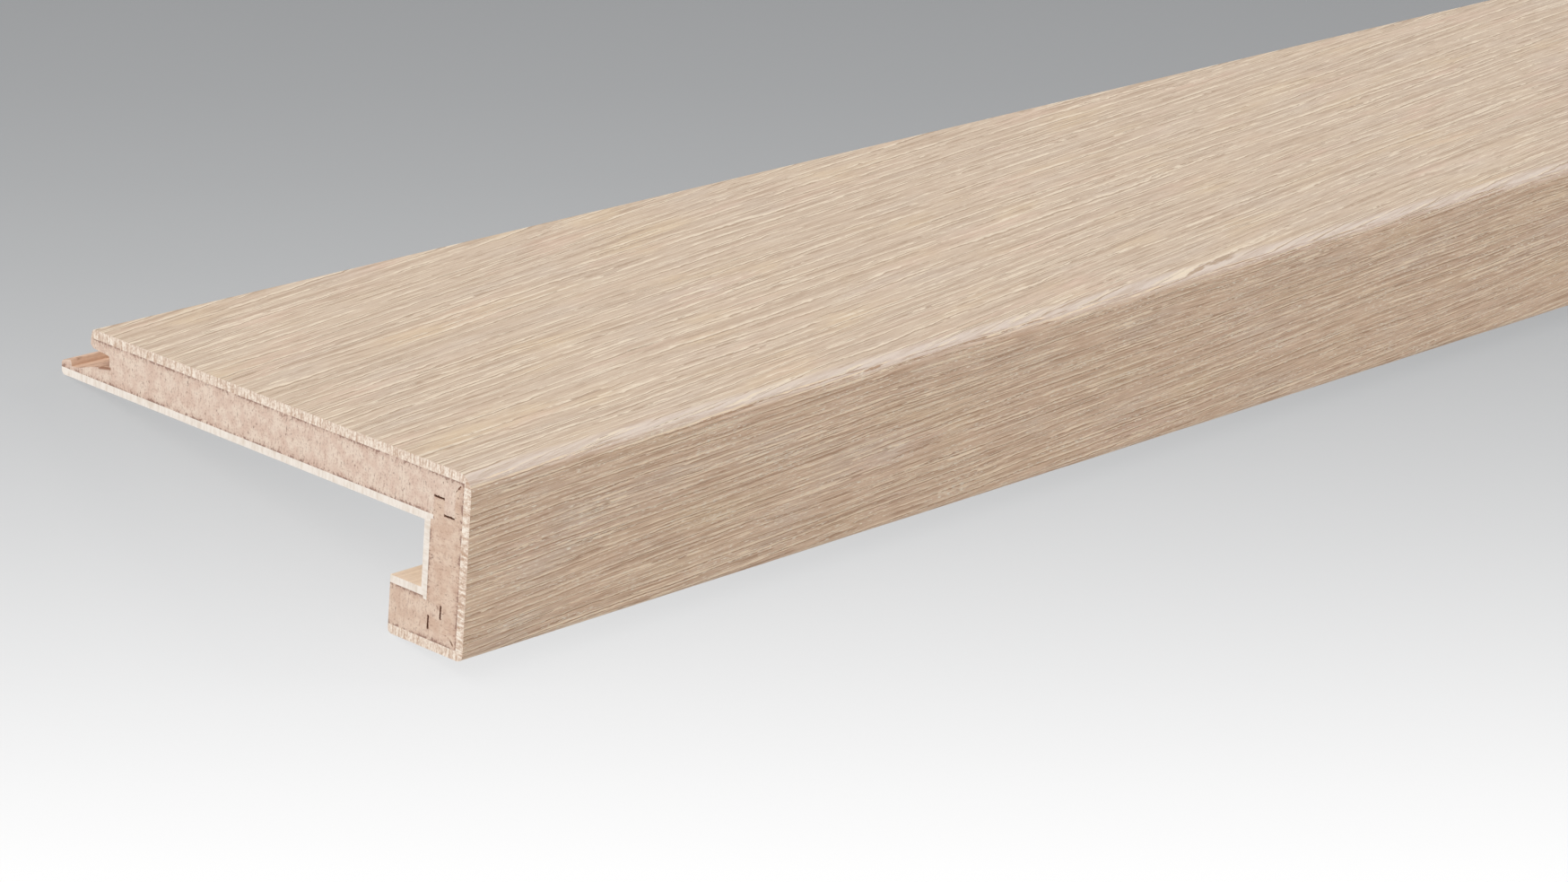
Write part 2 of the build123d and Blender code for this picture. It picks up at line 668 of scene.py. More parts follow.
class Recipe:
    """Node tree of a material or a world, with short calls for the nodes that the looks share."""

    def __init__(self, owner: bpy.types.Material | bpy.types.World, output: str) -> None:
        """Start a tree with nothing but its output.

        Args:
            owner: The material or world.
            output: Type of its output node.
        """
        self.owner = owner
        owner.use_nodes = True
        self.tree = owner.node_tree
        self.tree.nodes.clear()
        self.output = self.node(output)

    def node(self, kind: str, inputs: dict | None = None, **settings: object) -> bpy.types.Node:
        """Add a node.

        Args:
            kind: The node's type.
            inputs: What its sockets get, by their names or numbers.
            settings: Its properties.

        Returns:
            The node.
        """
        node = self.tree.nodes.new(kind)
        for name, value in settings.items():
            setattr(node, name, value)
        for key, value in (inputs or {}).items():
            self.feed(node.inputs[key], value)
        return node

    def feed(self, socket: Socket, value: Value | Tone | tuple | Vector) -> None:
        """Link a socket to another, or set it to a plain value.

        Args:
            socket: The socket.
            value: The other socket, or the value or tone.
        """
        if isinstance(value, Socket):
            self.tree.links.new(value, socket)
        else:
            socket.default_value = value.linear() if isinstance(value, Tone) else value

    def math(self, operation: str, *values: Value) -> Socket:
        """Result of a math node."""
        return self.node("ShaderNodeMath", dict(enumerate(values)), operation=operation).outputs[0]

    def product(self, *values: Value) -> Socket:
        """Multiply values.

        Args:
            values: Sockets or numbers.

        Returns:
            Their product.
        """
        result = values[0]
        for value in values[1:]:
            result = self.math("MULTIPLY", result, value)
        return result

    def total(self, *terms: tuple[Socket, Value], offset: float = 0) -> Socket:
        """Add up values, each times its weight, and a constant.

        Args:
            terms: Pairs of a value and its weight.
            offset: The constant.

        Returns:
            The sum.
        """
        result = offset
        for value, weight in terms:
            result = self.math("MULTIPLY_ADD", value, weight, result)
        return result

    def split(self, vector: Socket) -> bpy.types.NodeOutputs:
        """Parts of a vector, by the names X, Y and Z."""
        return self.node("ShaderNodeSeparateXYZ", {0: vector}).outputs

    def stretch(self, place: Socket, scale: Triple, shift: Triple = (0, 0, 0)) -> Socket:
        """Scale a place and move it.

        Args:
            place: The place, in metres.
            scale: How many units to the metre, along each axis.
            shift: What is added then, so that two textures of one kind differ.

        Returns:
            The scaled place.
        """
        inputs = {"Vector": place, "Scale": scale, "Location": shift}
        return self.node("ShaderNodeMapping", inputs).outputs[0]

    def noise(
        self, place: Socket, scale: Triple, shift: Triple = (0, 0, 0), detail: float = 2, rough: float = 0.5
    ) -> Socket:
        """Add a noise texture.

        Args:
            place: The place that it reads.
            scale: Its swellings to the metre, along each axis.
            shift: How far it is moved.
            detail: Its detail.
            rough: Its roughness.

        Returns:
            Its factor.
        """
        vector = self.stretch(place, scale, shift)
        inputs = {"Vector": vector, "Scale": 1, "Detail": detail, "Roughness": rough}
        return self.node("ShaderNodeTexNoise", inputs).outputs["Fac"]

    def crumbs(self, place: Socket, scale: Triple) -> Socket:
        """Add a smooth cell texture: nought in the middle of a cell, about one at its border."""
        inputs = {"Vector": self.stretch(place, scale), "Scale": 1, "Smoothness": 0.4}
        return self.node("ShaderNodeTexVoronoi", inputs, feature="SMOOTH_F1").outputs["Distance"]

    def step(self, value: Socket, low: float, high: float, smoothly: bool = True) -> Socket:
        """Bring a value from a range to nought to one, and hold it there.

        Args:
            value: The value.
            low: What becomes nought.
            high: What becomes one.
            smoothly: Whether the rise eases in and out.

        Returns:
            The result.
        """
        rise = "SMOOTHSTEP" if smoothly else "LINEAR"
        inputs = {"Value": value, "From Min": low, "From Max": high}
        return self.node("ShaderNodeMapRange", inputs, interpolation_type=rise).outputs["Result"]

    def near(self, value: Socket, reach: float, blur: float) -> Socket:
        """One where a value is nearer to nought than a reach, with a soft change of twice the blur."""
        return self.step(self.math("ABSOLUTE", value), reach + blur, reach - blur)

    def between(self, value: Socket, first: float, last: float, blur: float) -> Socket:
        """One where a value lies between two ends, with a soft change of twice the blur at each."""
        after = self.step(value, first - blur, first + blur)
        return self.product(after, self.step(value, last + blur, last - blur))

    def along(self, vector: Socket, direction: Vector) -> Socket:
        """How far a vector reaches along a direction: their dot product."""
        inputs = {0: vector, 1: direction}
        return self.node("ShaderNodeVectorMath", inputs, operation="DOT_PRODUCT").outputs["Value"]

    def seen(self) -> Socket:
        """Tell what the camera sees from what lights the scene.

        Returns:
            One for what is seen straight, in gloss or through glass, and nought for light.
        """
        rays = self.node("ShaderNodeLightPath").outputs
        mirrored = self.math("MAXIMUM", rays["Is Glossy Ray"], rays["Is Transmission Ray"])
        return self.math("MAXIMUM", rays["Is Camera Ray"], mirrored)

    def blend(self, one: Socket | Tone, two: Socket | Tone, *shares: Value) -> Socket:
        """Mix two colours.

        Args:
            one: First colour.
            two: Second colour.
            shares: What the share of the second colour is multiplied from.

        Returns:
            The mixed colour.
        """
        node = self.node("ShaderNodeMix", {"Factor": self.product(*shares)}, data_type="RGBA")
        colours = [socket for socket in node.inputs if socket.type == "RGBA"]
        self.feed(colours[0], one)
        self.feed(colours[1], two)
        return next(socket for socket in node.outputs if socket.type == "RGBA")

    def send(self, one: Socket, two: Socket, share: Socket) -> None:
        """Send a mix of two shaders to the output.

        Args:
            one: First shader.
            two: Second shader.
            share: Share of the second shader.
        """
        mix = self.node("ShaderNodeMixShader", {0: share, 1: one, 2: two})
        self.feed(self.output.inputs["Surface"], mix.outputs["Shader"])


class Paint(Recipe):
    """Recipe of a material with one principled shader."""

    def __init__(self, name: str) -> None:
        """Start a material.

        Args:
            name: Its name.
        """
        super().__init__(bpy.data.materials.new(name), "ShaderNodeOutputMaterial")
        self.shader = self.node("ShaderNodeBsdfPrincipled")
        self.feed(self.output.inputs["Surface"], self.shader.outputs["BSDF"])

    def finish(
        self, colour: Socket, height: Socket, depth: float, strength: float, rough: Value, gloss: float
    ) -> bpy.types.Material:
        """Fill in the shader, with a bump.

        Args:
            colour: Base colour.
            height: Height of the bump, from nought to one.
            depth: What a height of one stands for, in millimetres.
            strength: Strength of the bump.
            rough: Roughness.
            gloss: Specular level.

        Returns:
            The finished material.
        """
        inputs = {"Strength": strength, "Distance": depth * MM, "Height": height}
        self.feed(self.shader.inputs["Normal"], self.node("ShaderNodeBump", inputs).outputs[0])
        self.feed(self.shader.inputs["Base Color"], colour)
        self.feed(self.shader.inputs["Roughness"], rough)
        self.feed(self.shader.inputs["Specular IOR Level"], gloss)
        return self.owner


class SectionPaint(Paint):
    """Recipe of a material that is laid out on the section, whatever the piece.

    Its place is the vector of (length, depth, height) in metres: Object coordinates, moved and
    turned back as the section was moved and turned.
    """

    def __init__(self, name: str, section: Section) -> None:
        """Start a material.

        Args:
            name: Its name.
            section: The nosing's section.
        """
        super().__init__(name)
        self.section = section
        across, up = section.origin
        inputs = {
            "Vector": self.node("ShaderNodeTexCoord").outputs["Object"],
            "Location": (0, across * MM, up * MM),
            "Rotation": (-section.slope, 0, 0),
        }
        self.place = self.node("ShaderNodeMapping", inputs, vector_type="TEXTURE").outputs[0]

    def even(self, per_metre: float, shift: Triple = (0, 0, 0), rough: float = 0.5) -> Socket:
        """Noise that is alike in all directions.

        Args:
            per_metre: Its swellings to the metre.
            shift: How far it is moved.
            rough: Its roughness.

        Returns:
            Its factor.
        """
        return self.noise(self.place, (per_metre, per_metre, per_metre), shift, rough=rough)

    def beside(self) -> Socket:
        """Distance from the middle of the length, in millimetres."""
        return self.product(self.math("ABSOLUTE", self.split(self.place)["X"]), 1 / MM)

    def behind(self) -> Socket:
        """Depth from the front face, in millimetres."""
        return self.product(self.split(self.place)["Y"], 1 / MM)

    def below(self) -> Socket:
        """Depth under the walking surface, in millimetres."""
        return self.product(self.split(self.place)["Z"], -1 / MM)

    def depth_in(self, board: Board) -> Socket:
        """Depth under the face of a board.

        Args:
            board: Which board.

        Returns:
            The depth in millimetres.
        """
        if board is Board.TREAD:
            return self.below()
        if board is Board.FRONT:
            return self.behind()
        return self.total((self.below(), -1), offset=self.section.front_height)


def across_layer(board: Board, along: float, through: float) -> Triple:
    """Texture scale for streaks that run through a board from face to back.

    Args:
        board: Which board.
        along: Units to the metre along the board.
        through: Units to the metre through it.

    Returns:
        Scale for (length, depth, height).
    """
    if board is Board.FRONT:
        return along, through, along
    return along, along, through


@dataclass(frozen=True)
class BrushedOak:
    """Limed, brushed and matt lacquered face of an oak layer."""

    name: str
    base: Tone
    pale: Tone
    brown: Tone
    ring_width: float = 3.5
    sub_ring_width: float = 2.1
    ridge_width: float = 0.44
    groove_width: float = 0.5
    swell: float = 0.2
    streak_width: float = 0.76
    lasting_share: float = 0.35
    streak_share: float = 0.45
    fine_share: float = 0.7
    ring_share: float = 1.0
    sub_ring_share: float = 0.78
    fleck_share: float = 0.3
    patch_share: float = 0.7
    lime: Tone = Tone(236, 226, 208)
    pink: Tone = Tone(219, 190, 171)
    yellow: Tone = Tone(219, 196, 164)
    grey: Tone = Tone(206, 190, 175)
    # Paler tone of the nose rounding: partly its own sanded colour, partly a painted highlight.
    edge: Tone = Tone(220, 207, 198)

    def material(self) -> bpy.types.Material:
        """Make the material.

        Everything is laid out along the grain: streaks of two widths, the rings, and short lime
        flecks in the open pores. The attribute ring gives the growth rings, each of which starts
        with a pale ridge and ends in a brown groove; these are partly their own colour and partly
        a painted highlight on the ridge and painted shade in the groove. Slow patches turn the
        colour to pink, yellow and grey. The nose rounding, which was shaped after brushing, is
        smoother and paler, partly as its own sanded colour and partly as a painted highlight.

        Returns:
            The material.
        """
        r = Paint(self.name)
        grain = r.node("ShaderNodeUVMap", uv_map="grain").outputs[0]
        ring, strength, rounding = (
            r.node("ShaderNodeAttribute", attribute_name=name).outputs["Fac"]
            for name in ("ring", "strength", "rounding")
        )
        width = 1000 / self.streak_width
        lasting = r.noise(grain, (12, width, 0), detail=1)
        streaks = r.noise(grain, (48, width * 1.1, 0), (7.7, 4.1, 0))
        fine = r.noise(grain, (130, width * 1.8, 0), (0.3, 0.7, 0), rough=0.6)
        pores = r.noise(grain, (620, width * 3.0, 0), (0.9, 0.1, 0), detail=1)
        breaks = r.noise(grain, (54, width * 0.6, 0), (3.9, 8.3, 0))
        wobble = r.noise(grain, (85, width * 0.3, 0), (6.1, 2.2, 0))
        ripple = r.noise(grain, (330, width * 0.7, 0), (1.1, 5.2, 0), detail=1)
        patches = r.noise(grain, (24, 85, 0), (2.3, 1.7, 0))
        tints = r.noise(grain, (20, 110, 0), (5.1, 3.7, 0))

        rings = r.total((ring, 1), (wobble, 0.36), (ripple, 0.14))
        ring_lines = self.lines(r, rings, strength, self.ring_width)
        per_metre = 1000 / self.sub_ring_width
        sub_rings = r.total((r.split(grain)["Y"], per_metre), (lasting, 1.1), (wobble, 0.65), (ripple, 0.22))
        sub_lines = self.lines(r, sub_rings, r.step(breaks, 0.44, 0.58), self.sub_ring_width)
        relief = r.total(
            (lasting, self.lasting_share),
            (streaks, self.streak_share),
            (fine, self.fine_share),
            (ring_lines, self.ring_share),
            (sub_lines, self.sub_ring_share),
            offset=-0.5 * (self.lasting_share + self.streak_share + self.fine_share),
        )
        brushed = r.total((rounding, -0.2), offset=1)
        tone = r.total((relief, brushed), offset=0.5)

        base = r.blend(self.base, self.pink, r.step(tints, 0.5, 0.8), self.patch_share)
        base = r.blend(base, self.yellow, r.step(patches, 0.5, 0.8), self.patch_share)
        base = r.blend(base, self.grey, r.step(patches, 0.5, 0.2), self.patch_share)
        # Painted highlight on the nose rounding, together with its own paler sanded colour.
        base = r.blend(base, self.edge, rounding, 0.75)
        # Brown and pale: partly the grain's own colour, partly painted shade in the grooves and a painted
        # highlight on the ridges.
        colour = r.blend(base, self.brown, r.step(tone, 0.5, 0.05, False))
        colour = r.blend(colour, self.pale, r.step(tone, 0.5, 0.95, False))
        flecks = r.product(r.step(pores, 0.54, 0.61), r.step(streaks, 0.45, 0.62), brushed)
        colour = r.blend(colour, self.lime, flecks, self.fleck_share)
        height = r.total((tone, 0.7), (flecks, 0.2), (fine, 0.3))
        rough = r.total((rounding, -0.14), (streaks, 0.12), offset=0.56)
        return r.finish(colour, height, 0.16, 0.8, rough, 0.2)

    def lines(self, r: Recipe, rings: Socket, strength: Socket, width: float) -> Socket:
        """Pale ridge at the start of every ring and brown groove at its end, on a soft swell: partly their
        own colour, partly a painted highlight on the ridge and painted shade in the groove.

        Args:
            r: The recipe to add nodes to.
            rings: Field that grows by one from ring to ring.
            strength: Strength of the lines, from nought to one.
            width: Width of a ring in millimetres.

        Returns:
            One on a ridge, minus one in a groove, and nought elsewhere.
        """
        fraction = r.math("FRACT", rings)
        crest = self.ridge_width / width
        trough = self.groove_width / width
        ridge = r.product(r.step(fraction, crest, crest * 0.35), r.step(fraction, 0.0, crest * 0.15))
        groove = r.product(r.step(fraction, 1 - trough, 1 - trough * 0.3), r.step(fraction, 1.0, 0.98))
        swell = r.math("COSINE", r.product(rings, 2 * np.pi))
        return r.product(r.total((ridge, 1), (groove, -0.85), (swell, self.swell)), strength)


@dataclass(frozen=True)
class OakEnd:
    """Oak across the grain, as the saw leaves it."""

    name: str
    board: Board
    base: Tone = Tone(229, 213, 197)
    sugar: Tone = Tone(245, 236, 223)
    tan: Tone = Tone(190, 160, 138)
    rays_per_metre: float = 1800
    ray_share: float = 0.8

    def material(self, section: Section) -> bpy.types.Material:
        """Make the material: cut vessels show as pale crumbs, between fine rays through the layer.

        Args:
            section: The nosing's section.

        Returns:
            The material.
        """
        r = SectionPaint(self.name, section)
        crumbs = r.crumbs(r.place, across_layer(self.board, 2600, 1800))
        ray_scale = across_layer(self.board, self.rays_per_metre, 260)
        rays = r.noise(r.place, ray_scale, detail=3, rough=0.6)
        colour = r.blend(self.base, self.tan, r.step(rays, 0.5, 0.36), self.ray_share)
        colour = r.blend(colour, self.sugar, r.step(rays, 0.5, 0.62), self.ray_share)
        colour = r.blend(colour, self.sugar, r.step(crumbs, 0.42, 0.15), 0.6)
        colour = r.blend(colour, self.tan, r.step(crumbs, 0.5, 0.8), 0.5)
        colour = r.blend(colour, self.tan, r.step(r.even(420), 0.52, 0.75), 0.3)
        return r.finish(colour, r.total((rays, 0.6), (crumbs, -1)), 0.12, 0.6, 0.8, 0.15)


@dataclass(frozen=True)
class Mark(ABC):
    """Painted shade on a core: dark places where a slit, a gap or a recess lies in shade."""

    tone: Tone = Tone(108, 66, 46)
    share: float = 0.92

    def paint_shade(self, r: SectionPaint, rough: Socket, colour: Socket) -> Socket:
        """Paint shade there: darken a colour.

        Args:
            r: The recipe to add nodes to.
            rough: Noise that makes the mark's rims uneven.
            colour: The colour elsewhere.

        Returns:
            The colour with the mark.
        """
        return r.blend(colour, self.tone, self.darkness(r, rough), self.share)

    @abstractmethod
    def darkness(self, r: SectionPaint, rough: Socket) -> Socket:
        """Where the mark is: one there and nought elsewhere, with rims that a noise makes uneven."""


@dataclass(frozen=True)
class PaintedSlitShade(Mark):
    """Painted shade of the glue slits, on the sawn end along them and on their walls, and painted shade in
    the mitre where it stands open.
    """

    half_width: float = 0.25
    blur: float = 0.08
    end_blur: float = 0.1
    mitre_start: float = 0.87
    mitre_end: float = 0.73

    def darkness(self, r: SectionPaint, rough: Socket) -> Socket:
        """Where the mark is.

        At each corner that is a short stretch of the mitre, and the slit at the root and at the
        tip of the tongues.

        Args:
            r: The recipe to add nodes to.
            rough: Noise that makes the rims uneven.

        Returns:
            One on the dark stretches and nought elsewhere.
        """
        section = r.section
        behind = r.behind()
        below = r.below()
        above = r.total((below, -1), offset=section.front_height)
        waver = r.total((rough, 0.7), offset=-0.35)
        root = section.key_tip - section.glue_gap / 2
        tip = section.tongue_tip + section.glue_gap / 2
        first = section.mitre_run
        second = first + section.tongue_width
        third = second + section.tongue_width
        mitre_ends = (section.wear + self.mitre_start, section.seam_start + self.mitre_end)
        dark = 0.0
        # Painted shade: a dark brown band along each slit and along the open mitre.
        for through, along in ((below, behind), (behind, above)):
            mitre = r.total((through, 1), (along, -1))
            for off, place, ends in (
                (r.total((through, 1), offset=-root), along, (second, third)),
                (r.total((through, 1), offset=-tip), along, (first, second)),
                (mitre, behind, mitre_ends),
            ):
                near = r.near(r.total((off, 1), (waver, 1)), self.half_width, self.blur)
                inside = r.between(place, *ends, self.end_blur)
                dark = r.math("MAXIMUM", r.product(near, inside), dark)
        return dark


@dataclass(frozen=True)
class PaintedRampShade(Mark):
    """Painted shade along the foot of the click edge's ramp, close to both sawn ends."""

    tone: Tone = Tone(146, 104, 80)
    share: float = 0.85
    length: float = 3.6
    height: float = 0.34
    lift: float = 0.25
    blur: float = 0.2
    foot_blur: float = 0.2
    length_blur: float = 0.5
    reach: float = 1.6

    def darkness(self, r: SectionPaint, rough: Socket) -> Socket:
        """Where the mark is.

        It lies where the height over the ramp is small, and fades inwards from both ends.

        Args:
            r: The recipe to add nodes to.
            rough: Noise that makes the mark uneven.

        Returns:
            One on the mark and nought elsewhere.
        """
        section = r.section
        behind = r.behind()
        foot = section.groove_end
        fall = section.ramp_fall / section.ramp_length
        drop = section.groove_floor - foot * fall + self.lift
        over = r.total((r.below(), 1), (behind, -fall), (rough, 0.5), offset=-drop)
        ahead = r.step(behind, foot - 3 * self.foot_blur, foot - self.foot_blur)
        last = foot + self.length
        within = r.step(behind, last + self.length_blur, last - self.length_blur)
        half = section.length / 2
        uneven = r.total((r.beside(), 1), (rough, 1.4), offset=-0.7)
        ends = r.step(uneven, half - self.reach, half - self.reach / 3)
        # One where the painted shade lies at the foot of the ramp.
        return r.product(r.near(over, self.height, self.blur), within, ahead, ends)


@dataclass(frozen=True)
class Fibreboard:
    """Core of pressed wood fibres, where the saw has cut it across."""

    name: str
    board: Board
    beige: Tone
    pink: Tone
    marks: tuple[Mark, ...]
    dark: Tone = Tone(182, 150, 134)
    speck: Tone = Tone(143, 114, 102)
    border_reach: float = 1.7
    glue_reach: float = 0.8

    def material(self, section: Section) -> bpy.types.Material:
        """Make the material: mottled fibres, with brown specks that crowd near both glue lines.

        Args:
            section: The nosing's section.

        Returns:
            The material.
        """
        r = SectionPaint(self.name, section)
        fibres = r.even(1900, rough=0.6)
        clouds = r.even(330)
        clusters = r.step(r.even(240, (4.4, 0.9, 2.6), 0.6), 0.34, 0.66)
        saw = r.noise(r.place, across_layer(self.board, 1900, 430), rough=0.6)
        specks = r.noise(r.place, across_layer(self.board, 1700, 1000), (0.7, 3.1, 5.3), rough=0.6)
        depth = r.depth_in(self.board)
        border = self.near_glue(r, depth, self.border_reach)
        glue = self.near_glue(r, depth, self.glue_reach)
        tone = r.total((fibres, 1.2), (saw, 0.9), (border, 0.07), offset=-0.5 * (1.2 + 0.9))
        colour = r.blend(self.beige, self.pink, r.step(clouds, 0.36, 0.64))
        colour = r.blend(colour, self.dark, r.step(tone, 0.0, 0.36, False), 0.75)
        colour = r.blend(colour, self.dark, border, clusters, 0.45)
        crowded = r.total((specks, 1), (border, 0.05), (glue, 0.06), (r.product(glue, clusters), 0.21))
        colour = r.blend(colour, self.speck, r.step(crowded, 0.6, 0.76), 0.78)
        # Painted shade of the slits and the open mitre, and on the tread of the ramp's foot.
        for mark in self.marks:
            colour = mark.paint_shade(r, fibres, colour)
        height = r.total((fibres, 1), (saw, 0.7), (specks, -0.5))
        return r.finish(colour, height, 0.1, 0.6, 0.9, 0.1)

    def near_glue(self, r: SectionPaint, depth: Socket, reach: float) -> Socket:
        """How near a point is to one of the core's glue lines.

        Args:
            r: The recipe to add nodes to.
            depth: Depth under the board's face.
            reach: How far from a glue line the value falls to nought.

        Returns:
            A value that is one on the glue line.
        """
        face = r.section.wear
        back = r.section.core_end
        face_side = r.step(depth, face + reach, face)
        return r.math("MAXIMUM", face_side, r.step(depth, back - reach, back))


@dataclass(frozen=True)
class LongGrain:
    """Wood or fibreboard that a cutter or knife has left smooth along the length."""

    name: str
    pale: Tone
    dark: Tone
    speck: Tone
    marks: tuple[Mark, ...] = ()

    def material(self, section: Section) -> bpy.types.Material:
        """Make the material: streaks along the length, a faint fuzz, and a few dark flecks.

        Args:
            section: The nosing's section.

        Returns:
            The material.
        """
        r = SectionPaint(self.name, section)
        streaks = r.noise(r.place, (16, 900, 900), detail=4, rough=0.6)
        fuzz = r.noise(r.place, (1100, 2200, 2200), rough=0.6)
        flecks = r.noise(r.place, (170, 420, 420), (1.3, 0.4, 2.9), detail=3, rough=0.6)
        tone = r.total((streaks, 1.6), (fuzz, 0.6), offset=-0.6)
        colour = r.blend(self.dark, self.pale, r.step(tone, 0.15, 0.85, False))
        colour = r.blend(colour, self.speck, r.step(flecks, 0.53, 0.66), 0.6)
        # Painted shade on the slit walls and at the ramp's foot.
        for mark in self.marks:
            colour = mark.paint_shade(r, fuzz, colour)
        return r.finish(colour, r.total((streaks, 1), (fuzz, 0.5)), 0.08, 0.6, 0.8, 0.15)


@dataclass(frozen=True)
class VeneerEnd:
    """Softwood veneer across the grain."""

    name: str
    board: Board
    base: Tone = Tone(238, 231, 222)
    dark: Tone = Tone(221, 209, 195)

    def material(self, section: Section) -> bpy.types.Material:
        """Make the material: nearly even cream, with faint rays and clouds.

        Args:
            section: The nosing's section.

        Returns:
            The material.
        """
        r = SectionPaint(self.name, section)
        rays = r.noise(r.place, across_layer(self.board, 1500, 300), rough=0.6)
        tone = r.total((rays, 1), (r.even(240), 0.8), offset=-0.4)
        colour = r.blend(self.base, self.dark, r.step(tone, 0.4, 0.8, False))
        return r.finish(colour, rays, 0.06, 0.5, 0.85, 0.15)


@dataclass
class BoardLayers:
    """One board of the nosing, as the three layers that it is glued up from."""

    board: Board
    section: Section
    grain: Grain
    face_step: float
    stations: int
    plain_step: float = 6
    plain_stations: int = 25

    def build(self, finishes: dict[Layer, list[bpy.types.Material]]) -> None:
        """Make and dress the board's three layers.

        Args:
            finishes: For each layer its materials, in the order of the cuts.
        """
        for layer in Layer:
            node = f"{self.board.value}_{layer.value}"
            piece = self.layer_piece(node, layer)
            for material in finishes[layer]:
                piece.data.materials.append(material)
            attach(piece, BODY)
            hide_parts(node)
            log.info("%s: %d faces", piece.name, len(piece.data.polygons))

    def layer_piece(self, node: str, layer: Layer) -> bpy.types.Object:
        """Make one layer: its outline carried along the length, with a relief on an oak face.

        The place of a vertex is its outline point, moved along the outward direction by the
        relief there, at the station's place x along the length. s runs across the face.

        Args:
            node: The CAD node that it stands for.
            layer: Which layer.

        Returns:
            The object.
        """
        outline = self.section.layer_outline(self.board, layer)
        worn = layer is Layer.WEAR
        outline = outline.divide(self.face_step if worn else self.plain_step, self.plain_step)
        count = self.stations if worn else self.plain_stations
        half = self.section.length / 2
        x = np.linspace(-half, half, count)[:, None]
        s = -outline.travel()[None]
        across = self.grain.across(x, s)
        ring = self.grain.rings(x, across)[:, :-1]
        strength = self.grain.strength(x, across)[:, :-1]
        relief = self.grain.height(ring, strength) * outline.on_face() if worn else np.zeros(ring.shape)
        moved = outline.points[None] + relief[..., None] * outline.outward()[None]
        turned = self.section.turn(moved.reshape(-1, 2)) + self.section.origin
        verts = np.column_stack([np.broadcast_to(x, ring.shape).ravel(), turned]) * MM
        mesh = tube_mesh(f"{node}_piece", verts, outline, x.ravel(), across)
        if worn:
            set_attribute(mesh, "ring", ring.ravel())
            set_attribute(mesh, "strength", strength.ravel())
            set_attribute(mesh, "rounding", np.tile(self.nose_share(outline), count))
        return link(f"{node}_piece", mesh)

    def nose_share(self, outline: Outline) -> np.ndarray:
        """How far each point of an outline is on the nose rounding.

        One along the arc, falling smoothly to nought where the arc runs out into the faces.

        Args:
            outline: The outline.

        Returns:
            One value for each point.
        """
        radius = self.section.nose_radius
        place = outline.points
        near = (place[:, 0] < radius) & (place[:, 1] > -radius)
        angle = np.degrees(np.arctan2(place[:, 1] + radius, radius - place[:, 0]))
        top_run_out = (8, 44)
        front_run_out = (62, 96)
        return near * smooth(angle, *top_run_out) * (1 - smooth(angle, *front_run_out))


def set_attribute(mesh: bpy.types.Mesh, name: str, values: np.ndarray) -> None:
    """Store one number for each vertex."""
    attribute = mesh.attributes.new(name, "FLOAT", "POINT")
    attribute.data.foreach_set("value", values.astype(np.float32))


def link(name: str, data: bpy.types.ID) -> bpy.types.Object:
    """Put data into the scene as an object.

    Args:
        name: Name of the object.
        data: Its mesh, lamp or camera.

    Returns:
        The object.
    """
    item = bpy.data.objects.new(name, data)
    bpy.context.scene.collection.objects.link(item)
    return item


def tube_mesh(
    name: str, verts: np.ndarray, outline: Outline, x: np.ndarray, across: np.ndarray
) -> bpy.types.Mesh:
    """Closed mesh of an outline carried along stations, with a flat cap at both ends.

    Vertex number is station times points plus point. Each side of the outline and each bay between
    stations give one four-sided face, and both ends are one face each.

    Args:
        name: Name of the mesh.
        verts: Vertices, station by station.
        outline: The anticlockwise outline.
        x: Places of the stations, in millimetres.
        across: Distance across the grain, for each station and point, and for the closing point.

    Returns:
        The mesh, with its cuts as material slots, and length and distance across the grain as UV.
    """
    stations = len(x)
    points = len(outline.points)
    bay, side = np.meshgrid(np.arange(stations - 1), np.arange(points), indexing="ij")
    bay = bay.ravel()
    side = side.ravel()
    follow = (side + 1) % points
    quads = np.column_stack([
        bay * points + side,
        bay * points + follow,
        (bay + 1) * points + follow,
        (bay + 1) * points + side,
    ])
    quads = quads[:, ::-1]
    first_cap = np.arange(points)
    last_cap = (stations - 1) * points + np.arange(points)[::-1]
    corners = np.concatenate([quads.ravel(), first_cap, last_cap]).astype(np.int32)
    sizes = np.concatenate([np.full(len(quads), 4), [points, points]])
    starts = np.concatenate([[0], np.cumsum(sizes)[:-1]]).astype(np.int32)
    cuts = np.concatenate([outline.cuts[side], [Cut.SAWN_END, Cut.SAWN_END]]).astype(np.int32)

    mesh = bpy.data.meshes.new(name)
    mesh.vertices.add(len(verts))
    mesh.vertices.foreach_set("co", verts.astype(np.float32).ravel())
    mesh.loops.add(len(corners))
    mesh.loops.foreach_set("vertex_index", corners)
    mesh.polygons.add(len(sizes))
    mesh.polygons.foreach_set("loop_start", starts)
    mesh.polygons.foreach_set("material_index", cuts)

    u = np.column_stack([x[bay], x[bay], x[bay + 1], x[bay + 1]])[:, ::-1]
    v = np.column_stack([
        across[bay, side],
        across[bay, side + 1],
        across[bay + 1, side + 1],
        across[bay + 1, side],
    ])[:, ::-1]
    caps = np.vstack([outline.points, outline.points[::-1]])
    along_grain = np.vstack([np.column_stack([u.ravel(), v.ravel()]), caps]) * MM
    mesh.update(calc_edges=True)
    layer = mesh.uv_layers.new(name="grain")
    layer.data.foreach_set("uv", along_grain.astype(np.float32).ravel())
    mesh.shade_smooth()
    mesh.set_sharp_from_angle(angle=radians(SHARP_ANGLE))
    mesh.validate()
    return mesh


